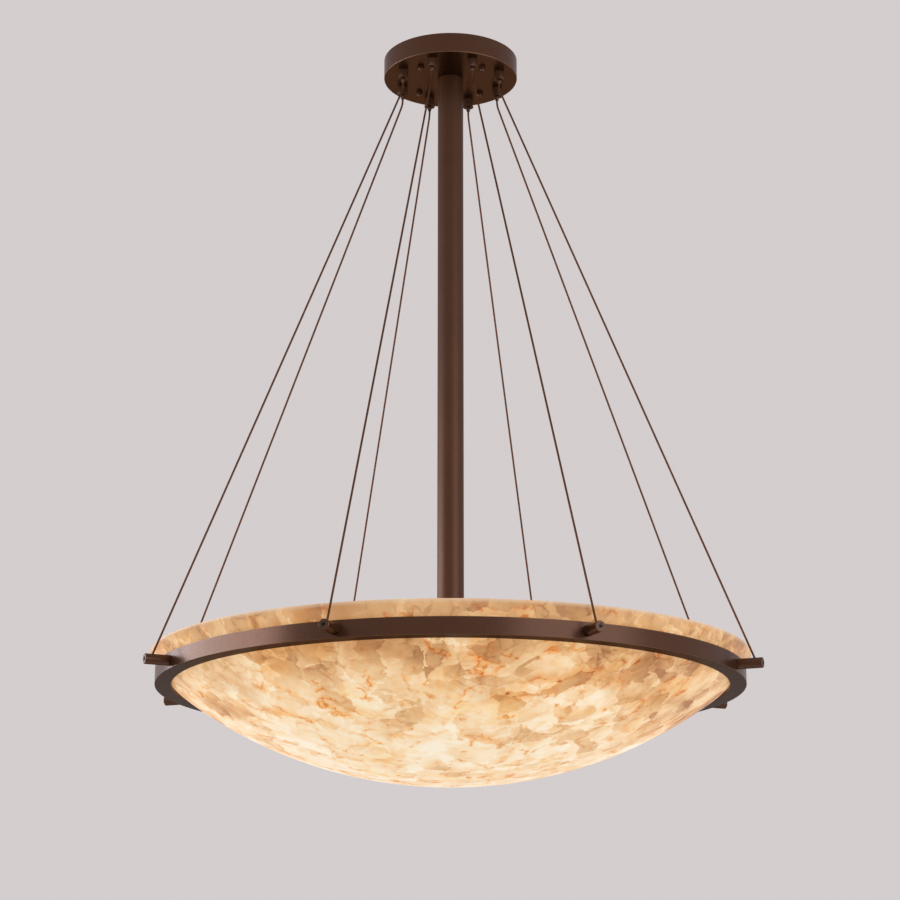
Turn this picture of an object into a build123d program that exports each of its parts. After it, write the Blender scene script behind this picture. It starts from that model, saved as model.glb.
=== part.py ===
"""Bowl pendant light: canopy, stem, lamp cluster, and a bowl hung in a ring on eight cables.

Millimetres, +Z up. The origin is on the ceiling, at the centre of the canopy.
"""
import os
from math import acos, atan2, cos, degrees, hypot, radians, sin, sqrt, tan

from build123d import *

# Fits
slip_clearance = 0.15
running_clearance = 0.1
seat_clearance = 0.2

# Ring: rolled angle, upright leg outside, flange below
ring_diameter = 914.4
ring_below_stem = 64.0
ring_leg = 25.4
ring_thickness = 3.2
ring_edge_radius = 0.8

# Bowl: a round bottom that turns up through a tighter shoulder
bowl_rim_overhang = 9.6
bowl_depth = 193.5
bowl_shoulder_radius = 200.0
bowl_rim_angle = 59.65
bowl_wall = 7.0
bowl_rim_edge_radius = 1.5

# Gasket between flange and bowl
gasket_width = 5.0
gasket_lip = 1.5

# Canopy and ceiling plate
canopy_diameter = 222.0
canopy_height = 33.0
canopy_wall = 2.0
canopy_edge_radius = 1.5
plate_diameter = 184.0
plate_thickness = 3.2
plate_wire_hole_diameter = 40.0
box_screw_spacing = 88.9
box_slot_length = 18.0
box_slot_width = 5.2

# Studs of the ceiling plate and the cap nuts under the canopy
plate_stud_count = 4
plate_stud_first_angle = 45.0
plate_stud_circle = 144.0
plate_stud_diameter = 5.0
plate_stud_recess = 0.4
plate_stud_collar_diameter = 9.0
plate_stud_collar_height = 1.5
cap_nut_across_flats = 10.0
cap_nut_hex_height = 3.5
cap_nut_thread_depth = 5.5
cap_nut_shoulder = 0.3
cap_nut_end_gap = 0.5

# Cables, one grip and one ring stud each
cable_count = 8
cable_first_angle = 22.5
cable_diameter = 3.2
cable_tail = 5.0
cable_exit_length = 10.0
cable_exit_straight = 1.0

# Grips
grip_circle = 172.0
grip_diameter = 16.0
grip_length = 14.0
grip_rim_diameter = 17.5
grip_rim_height = 2.0
grip_spigot_diameter = 9.5
grip_spigot_spare = 1.0
grip_bore_diameter = 4.0
grip_chamber_diameter = 9.0
grip_chamber_top = 4.5
grip_nut_across_flats = 14.0
grip_nut_height = 4.5

# Plungers
plunger_diameter = 7.0
plunger_collar_height = 2.0
plunger_nose_length = 7.0
plunger_nose_straight = 2.5
plunger_tip_diameter = 5.6

# Ring studs
stud_diameter = 15.9
stud_length = 38.1
stud_tip_chamfer = 0.7
stud_spigot_diameter = 8.0
stud_spigot_spare = 1.0
stud_nut_across_flats = 13.0
stud_nut_height = 4.0
stud_cable_inset = 9.5
stud_cable_depth = 4.0
grub_diameter = 8.0
grub_socket_across_flats = 4.0
grub_socket_depth = 3.0
grub_recess = 0.8
grub_point_diameter = 3.0

# Stem and what joins it at both ends
stem_diameter = 42.2
stem_wall = 1.6
stem_length = 967.0
plug_length = 22.0
nipple_diameter = 10.2
nipple_bore_diameter = 6.2
nipple_engagement = 18.0
nipple_spare = 2.5
washer_diameter = 24.0
washer_thickness = 1.5
lock_nut_across_flats = 17.0
lock_nut_height = 5.0

# Lamp cluster
lamp_count = 6
lamp_first_angle = 30.0
hub_across_flats = 84.0
hub_height = 52.0
hub_taper = 20.0
hub_wall = 2.5
cover_thickness = 2.5
cover_step_height = 3.0
socket_diameter = 33.0
socket_collar_diameter = 35.0
socket_collar_height = 4.0
socket_length = 46.0
socket_bore_depth = 34.0
socket_stub_diameter = 10.0
socket_stub_length = 8.0
socket_mouth_chamfer = 1.0

# Bulbs
bulb_cap_diameter = 26.0
bulb_cap_clearance = 0.6
bulb_cap_length = 26.0
bulb_contact_diameter = 10.0
bulb_contact_height = 2.7
bulb_neck_diameter = 27.0
bulb_neck_length = 5.0
bulb_diameter = 60.0
bulb_neck_to_centre = 46.0

# Wiring
lead_count = 3
lead_first_angle = 90.0
lead_diameter = 2.6
lead_circle = 3.2
lead_bend_radius = 9.0
lead_below_ceiling = 11.0
connector_start = 30.0
connector_length = 26.0
connector_mouth_diameter = 14.0
connector_taper = 5.0
connector_hole_depth = 8.0
terminal_width = 18.0
terminal_height = 10.0
terminal_hole_depth = 6.0
terminal_end_gap = 0.5

# Heights and radii that follow from the sizes above
ring_radius = ring_diameter / 2
ring_drop = canopy_height + stem_length + ring_below_stem
ring_top = -ring_drop + ring_leg
flange_top = -ring_drop + ring_thickness
flange_inner_radius = ring_radius - ring_leg
leg_inner_radius = ring_radius - ring_thickness
stud_height = -ring_drop + ring_leg / 2
canopy_underside = -canopy_height
canopy_floor = canopy_underside + canopy_wall
stem_bottom = canopy_underside - stem_length

# Bowl profile, measured up from its lowest point: the shoulder arc reaches the rim at the wall's angle,
# and the bottom arc is level in the middle and tangent to the shoulder
bowl_rim_diameter = ring_diameter + 2 * bowl_rim_overhang
shoulder_radius = bowl_rim_diameter / 2 - bowl_shoulder_radius * sin(radians(bowl_rim_angle))
shoulder_height = bowl_depth + bowl_shoulder_radius * cos(radians(bowl_rim_angle))
shoulder_reach = hypot(shoulder_radius, shoulder_height)
shoulder_rise = shoulder_height - bowl_shoulder_radius
bowl_bottom_radius = (shoulder_reach**2 - bowl_shoulder_radius**2) / (2 * shoulder_rise)
tangent_angle = atan2(shoulder_radius, bowl_bottom_radius - shoulder_height)


def bowl_height(radius, proud=0.0):
    """Height of the bowl's outside, or of a skin proud of it, above the bowl's lowest point."""
    if radius <= (bowl_bottom_radius + proud) * sin(tangent_angle):
        return bowl_bottom_radius - sqrt((bowl_bottom_radius + proud) ** 2 - radius**2)
    return shoulder_height - sqrt((bowl_shoulder_radius + proud) ** 2 - (radius - shoulder_radius) ** 2)


def shoulder_end_angle(arc_radius):
    """Angle from straight down at which a shoulder arc reaches the height of the rim."""
    return acos((shoulder_height - bowl_depth) / arc_radius)


bowl_bottom = flange_top + gasket_lip - bowl_height(flange_inner_radius)

# Cable line, drawn in the plane of the first cable before it is turned to its place
grip_radius = grip_circle / 2
plunger_tip = canopy_underside - grip_length - plunger_nose_length
cable_top = canopy_floor + grip_nut_height + grip_spigot_spare + cable_tail
cable_corner = plunger_tip - cable_exit_length
cable_end_radius = ring_radius + stud_length - stud_cable_inset
cable_turn = atan2(cable_end_radius - grip_radius, cable_corner - stud_height)
cable_bend_radius = (cable_exit_length - cable_exit_straight) / tan(cable_turn / 2)
cable_direction = Vector(sin(cable_turn), 0, -cos(cable_turn))
cable_stop = Vector(cable_end_radius, 0, stud_height) + cable_direction * stud_cable_depth

# Lamp axes: square to the flats of the hub
flat_radius = hub_across_flats / 2 - hub_height / 2 * tan(radians(hub_taper))
flat_height = stem_bottom - hub_height / 2
lamp_direction = Vector(cos(radians(hub_taper)), 0, -sin(radians(hub_taper)))
lamp_plane = Plane(origin=(flat_radius, 0, flat_height), x_dir=(0, 1, 0), z_dir=lamp_direction)
lamp_axis = Axis(lamp_plane.origin, lamp_direction)

hub_turn = lamp_first_angle - 180 / lamp_count

cable_angles = [cable_first_angle + 360 / cable_count * index for index in range(cable_count)]
lamp_angles = [lamp_first_angle + 360 / lamp_count * index for index in range(lamp_count)]


def save(piece, name):
    """Labels a finished piece and writes its file."""
    piece.label = name
    export_step(piece, f"parts/{name}.step")


def save_around(piece, name, angles):
    """Writes one numbered copy of a piece for each angle about the stem."""
    for number, angle in enumerate(angles, start=1):
        with BuildPart() as copy:
            with Locations(Rotation(0, 0, angle)):
                add(piece)
        save(copy.part, f"{name}_{number}")


os.makedirs("parts", exist_ok=True)

# Ceiling plate
with BuildPart() as ceiling_plate:
    with BuildSketch():
        Circle(plate_diameter / 2)
        Circle(plate_wire_hole_diameter / 2, mode=Mode.SUBTRACT)
        with GridLocations(box_screw_spacing, 0, 2, 1):
            SlotOverall(box_slot_length, box_slot_width, mode=Mode.SUBTRACT)
        with PolarLocations(plate_stud_circle / 2, plate_stud_count, plate_stud_first_angle):
            Circle(plate_stud_diameter / 2 + slip_clearance, mode=Mode.SUBTRACT)
    extrude(amount=-plate_thickness)
save(ceiling_plate.part, "ceiling_plate")

# Studs of the ceiling plate, each with a collar against the plate
with BuildPart() as plate_studs:
    stud_bottom = canopy_underside - cap_nut_thread_depth + cap_nut_end_gap
    with BuildSketch(Plane.XY.offset(-plate_stud_recess)):
        with PolarLocations(plate_stud_circle / 2, plate_stud_count, plate_stud_first_angle):
            Circle(plate_stud_diameter / 2)
    extrude(amount=stud_bottom + plate_stud_recess)
    with BuildSketch(Plane.XY.offset(-plate_thickness)):
        with PolarLocations(plate_stud_circle / 2, plate_stud_count, plate_stud_first_angle):
            Circle(plate_stud_collar_diameter / 2)
    extrude(amount=-plate_stud_collar_height)
save(plate_studs.part, "plate_studs")

# Canopy
with BuildPart() as canopy:
    with BuildSketch():
        Circle(canopy_diameter / 2)
    extrude(amount=-canopy_height)
    fillet(canopy.edges().group_by(Axis.Z)[0], canopy_edge_radius)
    offset(amount=-canopy_wall, openings=canopy.faces().sort_by(Axis.Z)[-1])
    Hole(nipple_diameter / 2 + slip_clearance)
    with PolarLocations(grip_radius, cable_count, cable_first_angle):
        Hole(grip_spigot_diameter / 2 + slip_clearance)
    with PolarLocations(plate_stud_circle / 2, plate_stud_count, plate_stud_first_angle):
        Hole(plate_stud_diameter / 2 + slip_clearance)
save(canopy.part, "canopy")

# Cap nuts under the canopy
with BuildPart() as cap_nut:
    with BuildSketch():
        RegularPolygon(cap_nut_across_flats / 2, 6, major_radius=False)
    extrude(amount=-cap_nut_hex_height)
    with Locations((0, 0, -cap_nut_hex_height)):
        Sphere(
            cap_nut_across_flats / 2 - cap_nut_shoulder,
            arc_size1=-90,
            arc_size2=0,
            align=(Align.CENTER, Align.CENTER, Align.MAX),
        )
    Hole(plate_stud_diameter / 2 + slip_clearance, depth=cap_nut_thread_depth)
with BuildPart() as canopy_cap_nuts:
    with Locations((0, 0, canopy_underside)):
        with PolarLocations(plate_stud_circle / 2, plate_stud_count, plate_stud_first_angle):
            add(cap_nut.part)
save(canopy_cap_nuts.part, "canopy_cap_nuts")

# Cable grip: barrel with a rim, threaded spigot, and a chamber that holds the plunger's collar
grip_plane = Plane(origin=(grip_radius, 0, canopy_underside), x_dir=(1, 0, 0), z_dir=(0, -1, 0))
grip_axis = Axis((grip_radius, 0, 0), (0, 0, 1))
grip_spigot_top = canopy_wall + grip_nut_height + grip_spigot_spare
grip_lip_top = -grip_length + grip_rim_height
with BuildPart() as cable_grip:
    with BuildSketch(grip_plane):
        with BuildLine():
            Polyline(
                (grip_bore_diameter / 2, grip_spigot_top),
                (grip_spigot_diameter / 2, grip_spigot_top),
                (grip_spigot_diameter / 2, 0),
                (grip_diameter / 2, 0),
                (grip_diameter / 2, grip_lip_top),
                (grip_rim_diameter / 2, grip_lip_top),
                (grip_rim_diameter / 2, -grip_length),
                (plunger_diameter / 2 + running_clearance, -grip_length),
                (plunger_diameter / 2 + running_clearance, grip_lip_top),
                (grip_chamber_diameter / 2, grip_lip_top),
                (grip_chamber_diameter / 2, -grip_chamber_top),
                (grip_bore_diameter / 2, -grip_chamber_top),
                close=True,
            )
        make_face()
    revolve(axis=grip_axis)
save_around(cable_grip.part, "cable_grip", cable_angles)

# Plunger: collar that stops on the grip's lip, sleeve and conical nose
collar_bottom = grip_lip_top + running_clearance
collar_top = collar_bottom + plunger_collar_height
nose_bottom = -grip_length - plunger_nose_length
with BuildPart() as grip_plunger:
    with BuildSketch(grip_plane):
        with BuildLine():
            Polyline(
                (grip_bore_diameter / 2, collar_top),
                (grip_chamber_diameter / 2 - seat_clearance, collar_top),
                (grip_chamber_diameter / 2 - seat_clearance, collar_bottom),
                (plunger_diameter / 2, collar_bottom),
                (plunger_diameter / 2, -grip_length - plunger_nose_straight),
                (plunger_tip_diameter / 2, nose_bottom),
                (grip_bore_diameter / 2, nose_bottom),
                close=True,
            )
        make_face()
    revolve(axis=grip_axis)
save_around(grip_plunger.part, "grip_plunger", cable_angles)

# Nuts on the grips, inside the canopy
with BuildPart() as grip_nuts:
    with BuildSketch(Plane.XY.offset(canopy_floor)):
        with PolarLocations(grip_radius, cable_count, cable_first_angle):
            RegularPolygon(grip_nut_across_flats / 2, 6, major_radius=False)
            Circle(grip_spigot_diameter / 2 + slip_clearance, mode=Mode.SUBTRACT)
    extrude(amount=grip_nut_height)
save(grip_nuts.part, "grip_nuts")

# Cable: straight out of the grip, one bend, then tight to the stud
with BuildPart() as cable:
    with BuildLine():
        cable_line = FilletPolyline(
            (grip_radius, 0, cable_top),
            (grip_radius, 0, cable_corner),
            cable_stop,
            radius=cable_bend_radius,
        )
    with BuildSketch(Plane(origin=cable_line @ 0, z_dir=cable_line % 0)):
        Circle(cable_diameter / 2)
    sweep(path=cable_line)
print("cable length", round(cable_line.length, 1), "bend radius", round(cable_bend_radius, 1))
save_around(cable.part, "suspension_cable", cable_angles)

# Support ring with a hole for each stud
with BuildPart() as support_ring:
    with BuildSketch(Plane.XZ):
        with BuildLine():
            Polyline(
                (ring_radius, -ring_drop),
                (ring_radius, ring_top),
                (leg_inner_radius, ring_top),
                (leg_inner_radius, flange_top),
                (flange_inner_radius, flange_top),
                (flange_inner_radius, -ring_drop),
                close=True,
            )
        ring_section = make_face()
        fillet(ring_section.vertices().sort_by(Axis.Y)[:2], ring_edge_radius)
    revolve(axis=Axis.Z)
    with Locations((0, 0, stud_height)):
        with PolarLocations(ring_radius, cable_count, cable_first_angle):
            with Locations(Rotation(0, 90, 0)):
                Hole(stud_spigot_diameter / 2 + slip_clearance, depth=2 * ring_thickness)
save(support_ring.part, "support_ring")

# Ring stud: spigot through the ring, slanted hole for the cable and a threaded hole in its end
stud_plane = Plane(origin=(ring_radius, 0, stud_height), x_dir=(0, 1, 0), z_dir=(1, 0, 0))
cable_hole_bottom = cable_stop + cable_direction * slip_clearance
with BuildPart() as ring_stud:
    with BuildSketch(stud_plane):
        Circle(stud_diameter / 2)
    extrude(amount=stud_length)
    chamfer(ring_stud.edges().group_by(Axis.X)[-1], stud_tip_chamfer)
    with BuildSketch(stud_plane):
        Circle(stud_spigot_diameter / 2)
    extrude(amount=-(ring_thickness + stud_nut_height + stud_spigot_spare))
    with BuildSketch(Plane(origin=cable_hole_bottom, z_dir=-cable_direction)):
        Circle(cable_diameter / 2 + slip_clearance)
    extrude(amount=stud_diameter, mode=Mode.SUBTRACT)
    with BuildSketch(stud_plane.offset(stud_length - stud_cable_inset)):
        Circle(grub_diameter / 2)
    extrude(amount=stud_cable_inset, mode=Mode.SUBTRACT)
with BuildPart() as ring_studs:
    with PolarLocations(0, cable_count, cable_first_angle):
        add(ring_stud.part)
save(ring_studs.part, "ring_studs")

# Grub screws: cone point against the cable, hexagon socket outside
grub_radius = grub_diameter / 2 - running_clearance
grub_point_gap = cable_diameter / 2 / cos(cable_turn) + grub_point_diameter / 2 * tan(cable_turn)
grub_start = stud_length - stud_cable_inset + grub_point_gap + slip_clearance
grub_end = stud_length - grub_recess
with BuildPart() as grub_screw:
    with BuildSketch(stud_plane.offset(grub_start)):
        Circle(grub_radius)
    extrude(amount=grub_end - grub_start)
    chamfer(grub_screw.edges().group_by(Axis.X)[0], grub_radius - grub_point_diameter / 2)
    with BuildSketch(stud_plane.offset(grub_end)):
        RegularPolygon(grub_socket_across_flats / 2, 6, major_radius=False)
    extrude(amount=-grub_socket_depth, mode=Mode.SUBTRACT)
with BuildPart() as stud_grub_screws:
    with PolarLocations(0, cable_count, cable_first_angle):
        add(grub_screw.part)
save(stud_grub_screws.part, "stud_grub_screws")

# Nuts on the ring studs: their corners seat on the hollow of the leg
stud_nut_corner = stud_nut_across_flats / sqrt(3)
stud_nut_seat = sqrt(leg_inner_radius**2 - stud_nut_corner**2)
with BuildPart() as stud_nut:
    with BuildSketch(stud_plane.offset(stud_nut_seat - ring_radius)):
        RegularPolygon(stud_nut_across_flats / 2, 6, major_radius=False)
        Circle(stud_spigot_diameter / 2 + slip_clearance, mode=Mode.SUBTRACT)
    extrude(amount=-stud_nut_height)
with BuildPart() as stud_nuts:
    with PolarLocations(0, cable_count, cable_first_angle):
        add(stud_nut.part)
save(stud_nuts.part, "stud_nuts")

# Gasket: flat on the flange, its upper face follows the bowl
gasket_outer_radius = flange_inner_radius + gasket_width
gasket_middle_radius = flange_inner_radius + gasket_width / 2
with BuildPart() as bowl_seat_gasket:
    with BuildSketch(Plane.XZ):
        with BuildLine():
            face_points = [
                (radius, bowl_bottom + bowl_height(radius, proud=seat_clearance))
                for radius in (flange_inner_radius, gasket_middle_radius, gasket_outer_radius)
            ]
            ThreePointArc(*face_points)
            Polyline(
                face_points[-1],
                (gasket_outer_radius, flange_top),
                (flange_inner_radius, flange_top),
                face_points[0],
            )
        make_face()
    revolve(axis=Axis.Z)
save(bowl_seat_gasket.part, "bowl_seat_gasket")

# Bowl
bowl_plane = Plane(origin=(0, 0, bowl_bottom), x_dir=(1, 0, 0), z_dir=(0, -1, 0))
bottom_sweep = degrees(tangent_angle)
outer_sweep = degrees(shoulder_end_angle(bowl_shoulder_radius)) - bottom_sweep
inner_sweep = degrees(shoulder_end_angle(bowl_shoulder_radius - bowl_wall)) - bottom_sweep
shoulder_centre = (shoulder_radius, shoulder_height)
bottom_centre = (0, bowl_bottom_radius)
with BuildPart() as bowl:
    with BuildSketch(bowl_plane):
        with BuildLine():
            outside = CenterArc(bottom_centre, bowl_bottom_radius, -90, bottom_sweep)
            outer_shoulder = CenterArc(
                shoulder_centre, bowl_shoulder_radius, bottom_sweep - 90, outer_sweep
            )
            inner_shoulder = CenterArc(
                shoulder_centre, bowl_shoulder_radius - bowl_wall, bottom_sweep - 90, inner_sweep
            )
            inside = CenterArc(bottom_centre, bowl_bottom_radius - bowl_wall, -90, bottom_sweep)
            Line(outer_shoulder @ 1, inner_shoulder @ 1)
            Line(outside @ 0, inside @ 0)
        bowl_section = make_face()
        fillet(bowl_section.vertices().sort_by(Axis.Y)[-2:], bowl_rim_edge_radius)
    revolve(axis=Axis.Z)
save(bowl.part, "bowl")

# Stem
with BuildPart() as stem:
    with BuildSketch(Plane.XY.offset(canopy_underside)):
        Circle(stem_diameter / 2)
        Circle(stem_diameter / 2 - stem_wall, mode=Mode.SUBTRACT)
    extrude(amount=-stem_length)
save(stem.part, "stem")

# Plugs in both ends of the stem
with BuildPart() as stem_end_plugs:
    with BuildSketch(Plane.XY.offset(canopy_underside), Plane.XY.offset(stem_bottom + plug_length)):
        Circle(stem_diameter / 2 - stem_wall - slip_clearance)
        Circle(nipple_diameter / 2 + slip_clearance, mode=Mode.SUBTRACT)
    extrude(amount=-plug_length)
save(stem_end_plugs.part, "stem_end_plugs")

# Nipples, washers and lock nuts that hold the stem to the canopy and the hub to the stem
stack_height = washer_thickness + lock_nut_height
nipple_length = nipple_engagement + canopy_wall + stack_height + nipple_spare
hub_ceiling = stem_bottom - hub_wall
upper_nipple_top = canopy_floor + stack_height + nipple_spare
lower_nipple_top = stem_bottom + nipple_engagement
with BuildPart() as stem_nipples:
    with BuildSketch(Plane.XY.offset(upper_nipple_top), Plane.XY.offset(lower_nipple_top)):
        Circle(nipple_diameter / 2)
        Circle(nipple_bore_diameter / 2, mode=Mode.SUBTRACT)
    extrude(amount=-nipple_length)
save(stem_nipples.part, "stem_nipples")

with BuildPart() as stem_washers:
    with BuildSketch(Plane.XY.offset(canopy_floor), Plane.XY.offset(hub_ceiling - washer_thickness)):
        Circle(washer_diameter / 2)
        Circle(nipple_diameter / 2 + slip_clearance, mode=Mode.SUBTRACT)
    extrude(amount=washer_thickness)
save(stem_washers.part, "stem_washers")

with BuildPart() as stem_lock_nuts:
    with BuildSketch(
        Plane.XY.offset(canopy_floor + washer_thickness), Plane.XY.offset(hub_ceiling - stack_height)
    ):
        RegularPolygon(lock_nut_across_flats / 2, 6, major_radius=False)
        Circle(nipple_diameter / 2 + slip_clearance, mode=Mode.SUBTRACT)
    extrude(amount=lock_nut_height)
save(stem_lock_nuts.part, "stem_lock_nuts")

# Lamp hub: hollow six-sided body, narrower below, with a flat for each socket
hub_inner_flats = hub_across_flats - 2 * hub_wall / cos(radians(hub_taper))
hub_ceiling_flats = hub_inner_flats - 2 * hub_wall * tan(radians(hub_taper))
with BuildPart() as cluster_hub:
    with BuildSketch(Plane.XY.offset(stem_bottom)):
        RegularPolygon(hub_across_flats / 2, lamp_count, major_radius=False, rotation=hub_turn)
    extrude(amount=-hub_height, taper=hub_taper)
    with BuildSketch(Plane.XY.offset(hub_ceiling)):
        RegularPolygon(hub_ceiling_flats / 2, lamp_count, major_radius=False, rotation=hub_turn)
    extrude(amount=-(hub_height - hub_wall), taper=hub_taper, mode=Mode.SUBTRACT)
    with Locations((0, 0, stem_bottom)):
        Hole(nipple_diameter / 2 + slip_clearance, depth=2 * hub_wall)
    with PolarLocations(0, lamp_count, lamp_first_angle):
        with Locations(lamp_plane.location):
            Hole(socket_stub_diameter / 2 + slip_clearance, depth=2 * hub_wall)
save(cluster_hub.part, "cluster_hub")

# Lid of the hub, with a step that locates it
hub_bottom = stem_bottom - hub_height
hub_mouth_fall = 2 * hub_height * tan(radians(hub_taper))
cover_flats = hub_across_flats - hub_mouth_fall
step_flats = hub_inner_flats - hub_mouth_fall - 2 * slip_clearance
with BuildPart() as cluster_cover:
    with BuildSketch(Plane.XY.offset(hub_bottom)):
        RegularPolygon(cover_flats / 2, lamp_count, major_radius=False, rotation=hub_turn)
    extrude(amount=-cover_thickness, taper=hub_taper)
    with BuildSketch(Plane.XY.offset(hub_bottom)):
        RegularPolygon(step_flats / 2, lamp_count, major_radius=False, rotation=hub_turn)
    extrude(amount=cover_step_height)
save(cluster_cover.part, "cluster_cover")

# Lamp socket: sleeve on a collar, with a stub through the hub's flat
socket_bore_radius = bulb_cap_diameter / 2 + bulb_cap_clearance
with BuildPart() as lamp_socket:
    with BuildSketch(lamp_plane):
        Circle(socket_diameter / 2)
    extrude(amount=socket_length)
    with BuildSketch(lamp_plane):
        Circle(socket_collar_diameter / 2)
    extrude(amount=socket_collar_height)
    with BuildSketch(lamp_plane):
        Circle(socket_stub_diameter / 2)
    extrude(amount=-socket_stub_length)
    with BuildSketch(lamp_plane.offset(socket_length)):
        Circle(socket_bore_radius)
    extrude(amount=-socket_bore_depth, mode=Mode.SUBTRACT)
    mouth = lamp_socket.faces().sort_by(lamp_axis)[-1]
    chamfer(mouth.edges(), socket_mouth_chamfer)
save_around(lamp_socket.part, "lamp_socket", lamp_angles)

# Bulb: contact, screw cap, neck and a round globe that the neck arc is tangent to
cap_start = socket_length - socket_bore_depth + seat_clearance + bulb_contact_height
neck_start = cap_start + bulb_cap_length
globe_start = neck_start + bulb_neck_length
globe_centre = globe_start + bulb_neck_to_centre
globe_radius = bulb_diameter / 2
neck_radius = bulb_neck_diameter / 2
neck_swell = globe_radius - neck_radius
neck_arc_radius = (neck_radius**2 + bulb_neck_to_centre**2 - globe_radius**2) / (2 * neck_swell)
neck_arc_centre = (neck_radius + neck_arc_radius, globe_start)
neck_arc_span = degrees(atan2(bulb_neck_to_centre, neck_radius + neck_arc_radius))
bulb_plane = Plane(origin=lamp_plane.origin, x_dir=(0, 1, 0), z_dir=lamp_plane.x_dir.cross(lamp_direction))
with BuildPart() as lamp_bulb:
    with BuildSketch(bulb_plane):
        with BuildLine():
            neck_arc = CenterArc(neck_arc_centre, neck_arc_radius, 180, -neck_arc_span)
            CenterArc((0, globe_centre), globe_radius, -neck_arc_span, 90 + neck_arc_span)
            Polyline(
                neck_arc @ 0,
                (neck_radius, neck_start),
                (bulb_cap_diameter / 2, neck_start),
                (bulb_cap_diameter / 2, cap_start),
                (bulb_contact_diameter / 2, cap_start),
                (bulb_contact_diameter / 2, cap_start - bulb_contact_height),
                (0, cap_start - bulb_contact_height),
                (0, globe_centre + globe_radius),
            )
        make_face()
    revolve(axis=lamp_axis)
save_around(lamp_bulb.part, "lamp_bulb", lamp_angles)

# Terminal block on the hub's lid
terminal_bottom = hub_bottom + cover_step_height
terminal_top = terminal_bottom + terminal_height
with BuildPart() as terminal_block:
    with BuildSketch(Plane.XY.offset(terminal_bottom)):
        Rectangle(terminal_width, terminal_width)
    extrude(amount=terminal_height)
    with Locations((0, 0, terminal_top)):
        Hole(nipple_bore_diameter / 2, depth=terminal_hole_depth)
save(terminal_block.part, "terminal_block")

# Leads: up the stem from the terminal block, then out to the connectors in the canopy
lead_bottom = terminal_top - terminal_hole_depth + terminal_end_gap
lead_end = connector_start + connector_hole_depth - terminal_end_gap
with BuildPart() as lead:
    with BuildLine():
        lead_line = FilletPolyline(
            (lead_circle / 2, 0, lead_bottom),
            (lead_circle / 2, 0, -lead_below_ceiling),
            (lead_end, 0, -lead_below_ceiling),
            radius=lead_bend_radius,
        )
    with BuildSketch(Plane(origin=lead_line @ 0, z_dir=lead_line % 0)):
        Circle(lead_diameter / 2)
    sweep(path=lead_line)
with BuildPart() as lead_wires:
    with PolarLocations(0, lead_count, lead_first_angle):
        add(lead.part)
print("lead length", round(lead_line.length, 1))
save(lead_wires.part, "lead_wires")

# Wire connectors
connector_plane = Plane(origin=(connector_start, 0, -lead_below_ceiling), x_dir=(0, 1, 0), z_dir=(1, 0, 0))
with BuildPart() as connector:
    with BuildSketch(connector_plane):
        Circle(connector_mouth_diameter / 2)
    extrude(amount=connector_length, taper=connector_taper)
    with BuildSketch(connector_plane):
        Circle(lead_diameter / 2 + slip_clearance)
    extrude(amount=connector_hole_depth, mode=Mode.SUBTRACT)
with BuildPart() as wire_connectors:
    with PolarLocations(0, lead_count, lead_first_angle):
        add(connector.part)
save(wire_connectors.part, "wire_connectors")
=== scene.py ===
from math import atan2, cos, pi, radians, sin, sqrt

import bpy
from mathutils import Euler, Matrix, Vector


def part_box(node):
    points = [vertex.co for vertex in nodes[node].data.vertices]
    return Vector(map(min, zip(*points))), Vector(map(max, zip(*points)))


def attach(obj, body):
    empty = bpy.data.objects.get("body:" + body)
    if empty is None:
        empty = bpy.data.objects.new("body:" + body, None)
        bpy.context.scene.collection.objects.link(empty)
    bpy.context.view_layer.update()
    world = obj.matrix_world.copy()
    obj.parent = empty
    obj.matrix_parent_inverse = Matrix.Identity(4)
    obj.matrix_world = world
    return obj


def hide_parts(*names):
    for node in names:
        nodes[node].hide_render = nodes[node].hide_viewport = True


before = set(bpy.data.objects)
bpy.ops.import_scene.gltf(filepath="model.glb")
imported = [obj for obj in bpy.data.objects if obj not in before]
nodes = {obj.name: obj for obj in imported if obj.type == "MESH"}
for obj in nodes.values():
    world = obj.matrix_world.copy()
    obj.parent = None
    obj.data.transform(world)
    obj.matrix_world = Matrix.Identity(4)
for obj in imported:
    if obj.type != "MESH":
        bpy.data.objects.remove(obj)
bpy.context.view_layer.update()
scene = bpy.context.scene


# Camera: below the ring, looking up at the bowl

cameraView = {
    "place": (-0.0009, -3.5828, -1.6733),
    "pitch": 15.56,      # degrees above level
    "turn": -2.0,        # degrees about the stem
    "lens": 93.0,
    "sensor": 36.0,
}


def makeCamera(view):
    data = bpy.data.cameras.new("camera")
    data.lens = view["lens"]
    data.sensor_width = view["sensor"]
    camera = bpy.data.objects.new("camera", data)
    turn = radians(view["turn"])
    camera.location = Matrix.Rotation(turn, 3, "Z") @ Vector(view["place"])
    camera.rotation_euler = Euler((radians(90 + view["pitch"]), 0, turn))
    scene.collection.objects.link(camera)
    scene.camera = camera


makeCamera(cameraView)
print("camera set")


# Small helpers for node trees

def plug(tree, value, socket):
    if isinstance(value, bpy.types.NodeSocket):
        tree.links.new(value, socket)
    else:
        socket.default_value = value


def addNode(tree, kind, inputs=None, **settings):
    node = tree.nodes.new("ShaderNode" + kind)
    for name, value in settings.items():
        setattr(node, name, value)
    for name, value in (inputs or {}).items():
        plug(tree, value, node.inputs[name])
    return node


def calc(tree, operation, first, second=0.0, clamp=False):
    node = addNode(tree, "Math", operation=operation, use_clamp=clamp)
    plug(tree, first, node.inputs[0])
    plug(tree, second, node.inputs[1])
    return node.outputs[0]


def plus(tree, first, second):
    return calc(tree, "ADD", first, second)


def times(tree, first, second):
    return calc(tree, "MULTIPLY", first, second)


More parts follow.
